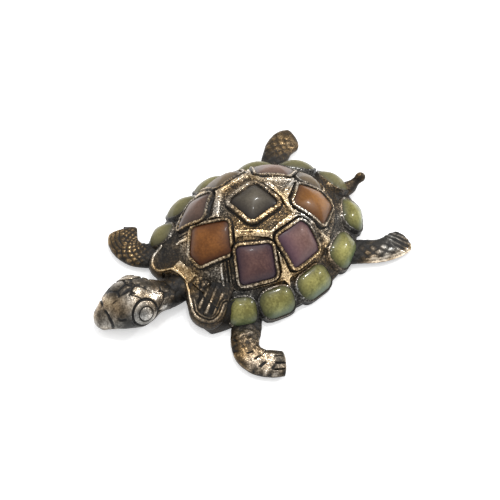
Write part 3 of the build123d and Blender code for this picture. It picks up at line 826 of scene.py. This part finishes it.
# %% Borders, ribs and blocks of the collar
left_lobe = smooth(across, 0.40, 0.50)
right_lobe = smooth(-across, 0.36, 0.44)
border = hump(edge_gap - 0.32, 0.24)
second = hump(edge_gap - 0.85, 0.16) * left_lobe
fan = across - 0.34 * depth + 0.10 * (depth - 0.5) ** 2
ribs = left_lobe * stripes(fan * 5.6 + 0.35, 1, 0.24)
ribs = ribs * smooth(edge_gap, 1.0, 1.35) * smooth(depth, 0.1, 0.2)
relief = 0.10 * fine + 0.10 * coarse * (1 - left_lobe) * (1 - right_lobe)
relief += 0.28 * border + 0.16 * second + 0.26 * ribs - 0.10 * left_lobe - 0.08 * right_lobe
collar_tone = 0.22 + 0.18 * fine + 0.12 * coarse + 0.5 * border + 0.34 * second - 0.12 * left_lobe
collar_tone += ribs * (0.40 + 0.2 * coarse) - 0.06 * right_lobe * smooth(edge_gap, 0.5, 0.8)
land = smooth(np.abs(across + 0.12), 0.27, 0.22) * smooth(np.abs(depth - 0.36), 0.15, 0.11)
block = smooth(np.abs(across - 0.33), 0.16, 0.13) * smooth(np.abs(depth - 0.30), 0.15, 0.12)
relief += 0.30 * land + block * (0.42 + 0.20 * (fine - 0.5))
collar_tone += land * (0.52 + 0.14 * coarse)
collar_tone += block * (0.42 * fine - 0.45 * smooth(cracks, 0.2, 0.0))
PLATE_NORMAL = np.array([0, -0.388, 0.922])
top = plate + PLATE_NORMAL * relief[..., None]
roll = np.linspace(0, math.pi, 14)[1:, None, None]
lip = top[-1]
away = unit(np.cross(np.gradient(lip, axis=0), [0.0, 0.0, 1.0]))
away = away * np.sign(np.sum(away * (lip - [0, -COLLAR_BACK, 0]), axis=-1, keepdims=True))
rolled = lip + away * 0.24 * np.sin(roll) - np.array([0, 0, 0.7]) * (1 - np.cos(roll))
beneath = rolled[-1] + (plate[COLLAR_ROWS // 2] - plate[-1])
collar_points = np.concatenate([top, rolled, beneath[None]])
# Painted shade: the tone darkens as the lip rolls under, is nearly black beneath it, and stays dark on the
# closing sides.
collar_tones = [collar_tone, 0.50 - 0.45 * roll[..., 0] / math.pi + 0 * x[:1], 0.05 + 0 * x[:1]]
collar_tones = np.clip(np.concatenate(collar_tones), 0, 1)
skirt = np.array([0, 0, 2.2])  # closes the two sides down to the edge
sides = [collar_points[:, :1] - skirt, collar_points, collar_points[:, -1:] - skirt]
collar_points = np.concatenate(sides, axis=1)
collar_tones = np.pad(collar_tones, ((0, 0), (1, 1)), constant_values=0.15)
collar_piece = surface("collar_metal", collar_points, ring=False, flip=True, tone=collar_tones)

# %% [markdown]
# ## The underside
# A wall stands round the belly, and the brooch lies on it. Inside it the casting is hollow up to the shell.
# Each row of this grid is one outline, taken by angle: the lip, the wall's outside and inside, and the
# dome's inside up to its top.

# %% The belly wall and the hollow
BELLY_HALF_WIDTH, BELLY_HALF_LENGTH = 11.4, 17.0
HOLLOW_HALF_WIDTH, HOLLOW_HALF_LENGTH, HOLLOW_FOOT, HOLLOW_RISE = 9.9, 12.9, 2.45, 7.3
BELLY = np.array(
    [(0.0, -0.88), (0.44, -1.0), (0.74, -0.99), (0.85, -0.78), (0.96, -0.48), (1.0, 0.0), (0.95, 0.45)]
    + [(0.70, 0.80), (0.34, 0.96), (0.0, 0.99)]
) * [BELLY_HALF_WIDTH, BELLY_HALF_LENGTH]


def belly_radius(angle, shrink):
    """Distance to the belly's outline at each angle from the tail, less a shrink, blended by arc. The
    right front corner is drawn in a little."""
    known = np.arctan2(np.abs(BELLY[:, 0]), BELLY[:, 1])
    order = np.argsort(known)
    radius = np.interp(np.abs(angle), known[order], np.linalg.norm(BELLY, axis=1)[order]) - shrink
    return radius - 1.2 * np.exp(-(((angle + 2.68) / 0.3) ** 2))


turn = np.linspace(-math.pi, math.pi, 400, endpoint=False)
way = np.stack([np.sin(turn), np.cos(turn)], -1)
inner_foot = 1 / np.sqrt((way[:, 0] / HOLLOW_HALF_WIDTH) ** 2 + (way[:, 1] / HOLLOW_HALF_LENGTH) ** 2)
shelf = smooth(np.abs(turn), 2.15, 2.5)  # 1 at the front, where the lip climbs inwards under the collar
stations = [
    (belly_radius(turn, 0.3 + 2.1 * shelf), 2.6 + 1.6 * shelf),
    (belly_radius(turn, 0.3 + 0.6 * shelf), 2.6 + 0.6 * shelf),
    (belly_radius(turn, 0.0), 2.0),
    (belly_radius(turn, 0.0), 0.25),
    (belly_radius(turn, 0.2), 0.0),
    (belly_radius(turn, 1.3), 0.0),
    (belly_radius(turn, 1.5), 0.25),
    (belly_radius(turn, 1.5), 2.4),
    (np.minimum(inner_foot, belly_radius(turn, 1.6)), HOLLOW_FOOT),
]
for share in np.linspace(0, 1, 24)[1:-1]:
    lean = share * math.pi / 2
    stations.append((inner_foot * math.cos(lean), HOLLOW_FOOT + HOLLOW_RISE * math.sin(lean)))
belly_points = np.stack([np.stack([way[:, 0] * r, way[:, 1] * r, z + 0 * r], -1) for r, z in stations])
belly_points = belly_points - 0.05 * waves(belly_points, 1.6, 61)[..., None] * normals_of(belly_points)
belly_points[..., 2] = np.maximum(belly_points[..., 2], 0.0)
# Painted shade: the tone darkens going up into the hollow under the shell.
belly_tone = 0.2 + 0.16 * waves(belly_points, 2.5, 62) - 0.15 * smooth(belly_points[..., 2], 2.0, 4.0)
belly_tone = np.clip(belly_tone, 0, 1)
belly_piece = surface("belly_metal", belly_points, caps=(False, True), tone=belly_tone)
metal_pieces = [shell_metal, edge_metal, collar_piece, head_piece, tail_piece, belly_piece, *leg_pieces]

# %% [markdown]
# ## The enamels
# An enamel on the shell fills its cell to just under the rim; one on the edge swells a little over it. Each
# rises to a glossy crown. Its rows run from the crown to the outline and down into the pocket. Two values
# are kept for the colours: how near a point is to the outline, and how far down the slope it lies.


# %% An enamel's surface
CROWN_ROWS, POCKET_ROWS, GLAZE_COLUMNS = 34, 4, 112
SHELL_CROWN, SHELL_SINK, SHELL_SPREAD = 0.5, -0.10, -0.02
EDGE_CROWN, EDGE_SINK, EDGE_SPREAD = 1.12, -0.02, 0.16


def enamel(name, cell, crown, sink, spread, curved):
    """Crowned disc: the height is the dome's own fall across the cell, plus the crown's share of
    (1 - r^2)^0.9, where r is the distance from the middle as a share of the outline's. The spread moves
    the outline out over the rim, as the real glaze bulges."""
    angles = np.linspace(0, 2 * math.pi, GLAZE_COLUMNS, endpoint=False)
    outline = cell.outline(angles) + spread
    share = np.sin(np.linspace(0.03, math.pi / 2, CROWN_ROWS))[:, None]
    u, v = share * outline * np.cos(angles), share * outline * np.sin(angles)
    fall = -(u**2 / (2 * DOME_RADIUS) + v**2 / (2 * ARC)) if curved else 0 * u
    w = fall + sink + (crown - sink) * np.clip(1 - share**2, 0, 1) ** 0.9
    u, v = (np.pad(part, ((0, POCKET_ROWS), (0, 0)), mode="edge") for part in (u, v))
    w = np.concatenate([w, w[-1:] - np.linspace(0.08, 0.6, POCKET_ROWS)[:, None]])
    near = np.concatenate([share + 0 * outline, np.ones((POCKET_ROWS, GLAZE_COLUMNS))])
    points = cell.middle + u[..., None] * cell.across + v[..., None] * cell.up + w[..., None] * cell.normal
    lower = np.clip(0.5 - v / (2 * np.abs(v).max()), 0, 1)
    title = name.replace("enamel", "glaze")
    piece = surface(title, points, caps=(True, True), flip=True, near_rim=near, lower=lower)
    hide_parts(name)
    return piece


glazes = {}
for cells, *form in (
    (dome_cells, SHELL_CROWN, SHELL_SINK, SHELL_SPREAD, True),
    (edge_cells, EDGE_CROWN, EDGE_SINK, EDGE_SPREAD, False),
):
    glazes.update({name: enamel(name, cell, *form) for name, cell in cells.items()})

# %% [markdown]
# ## Materials
# All metal shares one finish: dark stain in the hollows, warm bronze on the flats, and gold or silver where
# the crests are rubbed. It is one node group, fed by the tone that each point keeps, which on several pieces
# also holds painted shade and painted highlights. The enamels share another: a deep colour that darkens at
# the outline as painted shade, a pearly drift of a second colour, and fine flecks.


# %% Helpers for node groups
def group(name, inputs, outputs):
    """New shader group whose inputs and outputs are given as socket name: Float or Color."""
    tree = bpy.data.node_groups.new(name, "ShaderNodeTree")
    for way, sockets in (("INPUT", inputs), ("OUTPUT", outputs)):
        for word, kind in sockets.items():
            tree.interface.new_socket(word, in_out=way, socket_type=f"NodeSocket{kind}")
    return tree, tree.nodes.new("NodeGroupInput"), tree.nodes.new("NodeGroupOutput")


def ramp(tree, stops):
    """Colour ramp with its stops as position and colour."""
    node = tree.nodes.new("ShaderNodeValToRGB")
    points = node.color_ramp.elements
    while len(points) < len(stops):
        points.new(0.5)
    for point, (position, colour) in zip(points, stops):
        point.position, point.color = position, (*colour, 1.0)
    return node


def noise(tree, scale, detail=3.0):
    """Noise texture on Object coordinates."""
    place = tree.nodes.new("ShaderNodeTexCoord")
    node = tree.nodes.new("ShaderNodeTexNoise")
    node.inputs["Scale"].default_value = scale
    node.inputs["Detail"].default_value = detail
    tree.links.new(place.outputs["Object"], node.inputs["Vector"])
    return node


def reckon(tree, kind, first, second):
    """Math node of a kind on two sockets or numbers."""
    node = tree.nodes.new("ShaderNodeMath")
    node.operation = kind
    for socket, value in zip(node.inputs, (first, second)):
        if isinstance(value, (int, float)):
            socket.default_value = value
        else:
            tree.links.new(value, socket)
    return node.outputs[0]


def map_range(tree, value, **ends):
    """Value stretched linearly from from_min and from_max to to_min and to_max, clamped."""
    node = tree.nodes.new("ShaderNodeMapRange")
    for word, number in ends.items():
        node.inputs[word.replace("_", " ").title()].default_value = number
    tree.links.new(value, node.inputs["Value"])
    return node.outputs[0]


def swing(tree, texture, strength):
    """Noise less its mean of 0.5, times a strength."""
    return reckon(tree, "MULTIPLY", reckon(tree, "SUBTRACT", texture.outputs[0], 0.5), strength)


def mix(tree, share, first, second):
    """Colour mixed from one to the other by a share."""
    node = tree.nodes.new("ShaderNodeMix")
    node.data_type = "RGBA"
    for socket, value in ((node.inputs["Factor"], share), (node.inputs[6], first), (node.inputs[7], second)):
        if isinstance(value, (int, float)):
            socket.default_value = value
        elif isinstance(value, tuple):
            socket.default_value = (*value, 1.0)
        else:
            tree.links.new(value, socket)
    return node.outputs[2]


# %% The patina group
patina, p_in, p_out = group(
    "patina",
    dict.fromkeys(("Tone", "Silver", "Grain"), "Float"),
    {"Colour": "Color", "Roughness": "Float", "Metal": "Float", "Height": "Float"},
)
grain = noise(patina, 3900.0, 4.0)
blotch = noise(patina, 420.0, 3.0)
drift = noise(patina, 150.0, 2.0)
grainy = swing(patina, grain, p_in.outputs["Grain"])
# The tone brings the real stain and wear, and on several pieces painted shade and painted highlights too.
wear_and_shade = reckon(patina, "ADD", reckon(patina, "ADD", p_in.outputs["Tone"], grainy), swing(patina, blotch, 0.7))
# Tone, then the gold's colour and the silver's there
WEAR_AND_SHADE_STOPS = (
    (0.12, (0.009, 0.007, 0.005), (0.008, 0.008, 0.008)),
    (0.32, (0.034, 0.023, 0.012), (0.028, 0.026, 0.023)),
    (0.54, (0.115, 0.076, 0.037), (0.100, 0.095, 0.085)),
    (0.75, (0.330, 0.220, 0.110), (0.300, 0.292, 0.272)),
    (0.97, (0.850, 0.640, 0.370), (0.850, 0.840, 0.810)),
)
gold = ramp(patina, [(position, colour) for position, colour, _ in WEAR_AND_SHADE_STOPS])
silver = ramp(patina, [(position, colour) for position, _, colour in WEAR_AND_SHADE_STOPS])
patina.links.new(wear_and_shade, gold.inputs[0])
patina.links.new(wear_and_shade, silver.inputs[0])
silvery = reckon(patina, "ADD", p_in.outputs["Silver"], swing(patina, drift, 3.0))
clamp = patina.nodes.new("ShaderNodeClamp")
patina.links.new(silvery, clamp.inputs[0])
results = {
    "Colour": mix(patina, clamp.outputs[0], gold.outputs[0], silver.outputs[0]),
    "Roughness": map_range(patina, wear_and_shade, from_min=0.2, from_max=0.9, to_min=0.50, to_max=0.20),
    "Metal": map_range(patina, wear_and_shade, from_min=0.15, from_max=0.6, to_min=0.45, to_max=1.0),
    "Height": reckon(patina, "ADD", reckon(patina, "MULTIPLY", blotch.outputs[0], 2.0), grain.outputs[0]),
}
for word, value in results.items():
    patina.links.new(value, p_out.inputs[word])


# %% The metal's materials
def shader_of(material):
    """The material's Principled shader."""
    material.use_nodes = True
    return material.node_tree.nodes["Principled BSDF"]


def antiqued(name, silver_share, grain_share):
    """Antiqued metal: the patina group feeds colour, roughness, metallic and a fine bump."""
    material = bpy.data.materials.new(name)
    shader = shader_of(material)
    tree = material.node_tree
    kept = tree.nodes.new("ShaderNodeAttribute")
    kept.attribute_name = "tone"
    finish = tree.nodes.new("ShaderNodeGroup")
    finish.node_tree = patina
    finish.inputs["Silver"].default_value = silver_share
    finish.inputs["Grain"].default_value = grain_share
    tree.links.new(kept.outputs["Fac"], finish.inputs["Tone"])
    for word, socket in (("Colour", "Base Color"), ("Roughness", "Roughness"), ("Metal", "Metallic")):
        tree.links.new(finish.outputs[word], shader.inputs[socket])
    bump = tree.nodes.new("ShaderNodeBump")
    bump.inputs["Strength"].default_value = 0.75
    bump.inputs["Distance"].default_value = 0.00008
    tree.links.new(finish.outputs["Height"], bump.inputs["Height"])
    tree.links.new(bump.outputs["Normal"], shader.inputs["Normal"])
    return material


FINISHES = {
    "grainy_bronze": antiqued("grainy_bronze", 0.25, 1.7),
    "grainy_silver": antiqued("grainy_silver", 0.55, 1.5),
    "rubbed_bronze": antiqued("rubbed_bronze", 0.15, 0.9),
    "rubbed_silver": antiqued("rubbed_silver", 0.60, 0.6),
}
WEARS = {
    "shell_metal": "grainy_bronze",
    "edge_metal": "grainy_silver",
    "head_metal": "rubbed_silver",
    "leg_rear_left": "rubbed_silver",
}
for piece in metal_pieces:
    piece.data.materials.append(FINISHES[WEARS.get(piece.name, "rubbed_bronze")])
    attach(piece, "root")
    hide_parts("casting")

# %% The pearl group
pearl, e_in, e_out = group(
    "pearl",
    dict.fromkeys(("Deep", "Bright", "Rim", "Low"), "Color")
    | dict.fromkeys(("Near Rim", "Lower", "Low Share"), "Float"),
    {"Colour": "Color", "Roughness": "Float"},
)
cloud, fleck = noise(pearl, 330.0, 5.0), noise(pearl, 2900.0, 2.0)
parts = [reckon(pearl, "MULTIPLY", node.outputs[0], share) for node, share in ((cloud, 0.6), (fleck, 0.4))]
cloudy = map_range(pearl, reckon(pearl, "ADD", *parts), from_min=0.40, from_max=0.62)
body = mix(pearl, cloudy, e_in.outputs["Deep"], e_in.outputs["Bright"])
lower = reckon(pearl, "POWER", e_in.outputs["Lower"], 4.0)
body = mix(pearl, reckon(pearl, "MULTIPLY", lower, e_in.outputs["Low Share"]), body, e_in.outputs["Low"])
# Painted shade: towards the outline the colour darkens to the rim colour.
edge = reckon(pearl, "POWER", e_in.outputs["Near Rim"], 2.6)
pearl.links.new(mix(pearl, edge, body, e_in.outputs["Rim"]), e_out.inputs["Colour"])
pearl.links.new(map_range(pearl, fleck.outputs[0], to_min=0.28, to_max=0.50), e_out.inputs["Roughness"])


# %% The enamels' materials
def glaze(name, deep, bright, rim, low, low_share, coat):
    """Pearly enamel of one colour family, its colours in thousandths, under a clear coat."""
    material = bpy.data.materials.new(name)
    shader = shader_of(material)
    tree = material.node_tree
    finish = tree.nodes.new("ShaderNodeGroup")
    finish.node_tree = pearl
    for word, colour in (("Deep", deep), ("Bright", bright), ("Rim", rim), ("Low", low)):
        finish.inputs[word].default_value = (*(part / 1000 for part in colour), 1.0)
    finish.inputs["Low Share"].default_value = low_share
    for word, key in (("Near Rim", "near_rim"), ("Lower", "lower")):
        kept = tree.nodes.new("ShaderNodeAttribute")
        kept.attribute_name = key
        tree.links.new(kept.outputs["Fac"], finish.inputs[word])
    tree.links.new(finish.outputs["Colour"], shader.inputs["Base Color"])
    tree.links.new(finish.outputs["Roughness"], shader.inputs["Roughness"])
    shader.inputs["Coat Weight"].default_value = coat
    shader.inputs["Coat Roughness"].default_value = 0.10
    shader.inputs["Specular IOR Level"].default_value = 0.25
    return material


# Each family: the deep, bright, rim and low colours, the low colour's share, and the clear coat's weight;
# the rim colour is the painted shade at each enamel's outline
GLAZES = {
    "olive": ((62, 50, 34), (100, 83, 58), (14, 10, 8), (36, 30, 30), 0.3, 0.16),
    "amber": ((150, 50, 8), (285, 105, 20), (46, 12, 3), (130, 46, 10), 0.3, 0.05),
    "honey": ((180, 68, 9), (300, 125, 20), (60, 20, 4), (150, 60, 12), 0.3, 0.05),
    "plum": ((86, 40, 36), (165, 82, 66), (22, 12, 24), (110, 54, 66), 0.5, 0.08),
    "mauve": ((140, 72, 60), (235, 130, 105), (48, 22, 34), (150, 78, 140), 0.7, 0.08),
    "clay": ((105, 62, 45), (185, 110, 80), (45, 28, 22), (110, 70, 60), 0.4, 0.05),
    "tan": ((130, 92, 50), (205, 150, 88), (60, 44, 28), (140, 100, 60), 0.3, 0.05),
    "rose": ((165, 96, 66), (245, 150, 108), (70, 45, 36), (150, 95, 75), 0.3, 0.05),
    "green": ((150, 132, 26), (370, 340, 100), (26, 30, 10), (100, 220, 170), 0.9, 0.25),
    "moss": ((150, 135, 55), (240, 215, 95), (70, 64, 30), (130, 125, 70), 0.4, 0.08),
}
GLAZES = {name: glaze(f"{name}_enamel", *colours) for name, colours in GLAZES.items()}
SHELL_COLOURS = {
    "enamel_shell_centre": "olive",
    "enamel_shell_front": "amber",
    "enamel_shell_rear": "tan",
    "enamel_shell_left_front": "plum",
    "enamel_shell_left_middle": "mauve",
    "enamel_shell_left_rear": "honey",
    "enamel_shell_right_front": "clay",
    "enamel_shell_right_middle": "tan",
    "enamel_shell_right_rear": "rose",
}
for name, piece in glazes.items():
    plain = "green" if "left" in name else "moss"
    piece.data.materials.append(GLAZES[SHELL_COLOURS.get(name, plain)])
    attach(piece, "root")


# %% The pin's steel, on the CAD node itself
def speckled(name, scale, detail, stops, **sockets):
    """Material whose colour is a ramp over noise, with plain values on the sockets named."""
    material = bpy.data.materials.new(name)
    shader, tree = shader_of(material), material.node_tree
    colours = ramp(tree, stops)
    tree.links.new(noise(tree, scale, detail).outputs[0], colours.inputs[0])
    tree.links.new(colours.outputs[0], shader.inputs["Base Color"])
    for word, value in sockets.items():
        shader.inputs[word.replace("_", " ")].default_value = value
    return material


steel_stops = [(0.3, (0.30, 0.29, 0.27)), (0.7, (0.52, 0.51, 0.48))]
steel = speckled("pin_steel", 900.0, 4.0, steel_stops, Metallic=1.0, Roughness=0.35)
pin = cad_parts["brooch_pin"]
if pin.data.materials:
    pin.data.materials[0] = steel
else:
    pin.data.materials.append(steel)

# %% [markdown]
# ## The room
# The photograph has a white ground with almost no shadow and soft light from above. A pale floor that
# glows a little and a sky that brightens upwards do the same here. Three small lamps make the highlights.

# %% Floor and lights
floor_mesh = bpy.data.meshes.new("floor")
FLOOR_HEIGHT = -1e-5  # a hair under the table, so that the belly's flat foot isn't in the floor's plane
corners = [(x, y, FLOOR_HEIGHT) for x, y in ((-1, -1), (1, -1), (1, 1), (-1, 1))]
floor_mesh.from_pydata(corners, [], [(0, 1, 2, 3)])
floor = add_object("floor", floor_mesh)
pale_stops = [(0.0, (0.93, 0.93, 0.93)), (1.0, (0.95, 0.95, 0.95))]
glow = {"Emission_Color": (1.0, 1.0, 1.0, 1.0), "Emission_Strength": 0.45}
floor_mesh.materials.append(speckled("pale_floor", 30.0, 2.0, pale_stops, Roughness=0.9, **glow))

world = bpy.data.worlds.new("sky")
world.use_nodes = True
heavens = world.node_tree
sky = heavens.nodes["Background"]
sky.inputs["Color"].default_value = (1.0, 1.0, 1.0, 1.0)
direction, split = heavens.nodes.new("ShaderNodeTexCoord"), heavens.nodes.new("ShaderNodeSeparateXYZ")
heavens.links.new(direction.outputs["Generated"], split.inputs[0])
brighter = map_range(heavens, split.outputs["Z"], from_min=0.0, from_max=1.0, to_min=0.35, to_max=1.05)
heavens.links.new(brighter, sky.inputs["Strength"])
bpy.context.scene.world = world


def lamp(name, place, aim, size, power):
    """Square soft lamp at a place on the turtle's axes, in millimetres, turned to look at its aim."""
    data = bpy.data.lights.new(name, "AREA")
    data.size, data.energy = size, power
    made = add_object(name, data)
    here = to_frame(place)
    look = unit(to_frame(aim) - here)
    made.location = here
    made.rotation_euler = (math.acos(-look[2]), 0.0, math.atan2(look[1], look[0]) - math.pi / 2)


LAMP_AIM, LAMP_SIZE = (0.0, 0.0, 5.0), 0.015
LAMPS = (((-85, 120, 255), 0.22), ((-10, 15, 300), 0.12), ((88, 237, 161), 0.22))
for number, (place, power) in enumerate(LAMPS, 1):
    lamp(f"lamp_{number}", place, LAMP_AIM, LAMP_SIZE, power)
bpy.context.scene.view_settings.view_transform = "Standard"
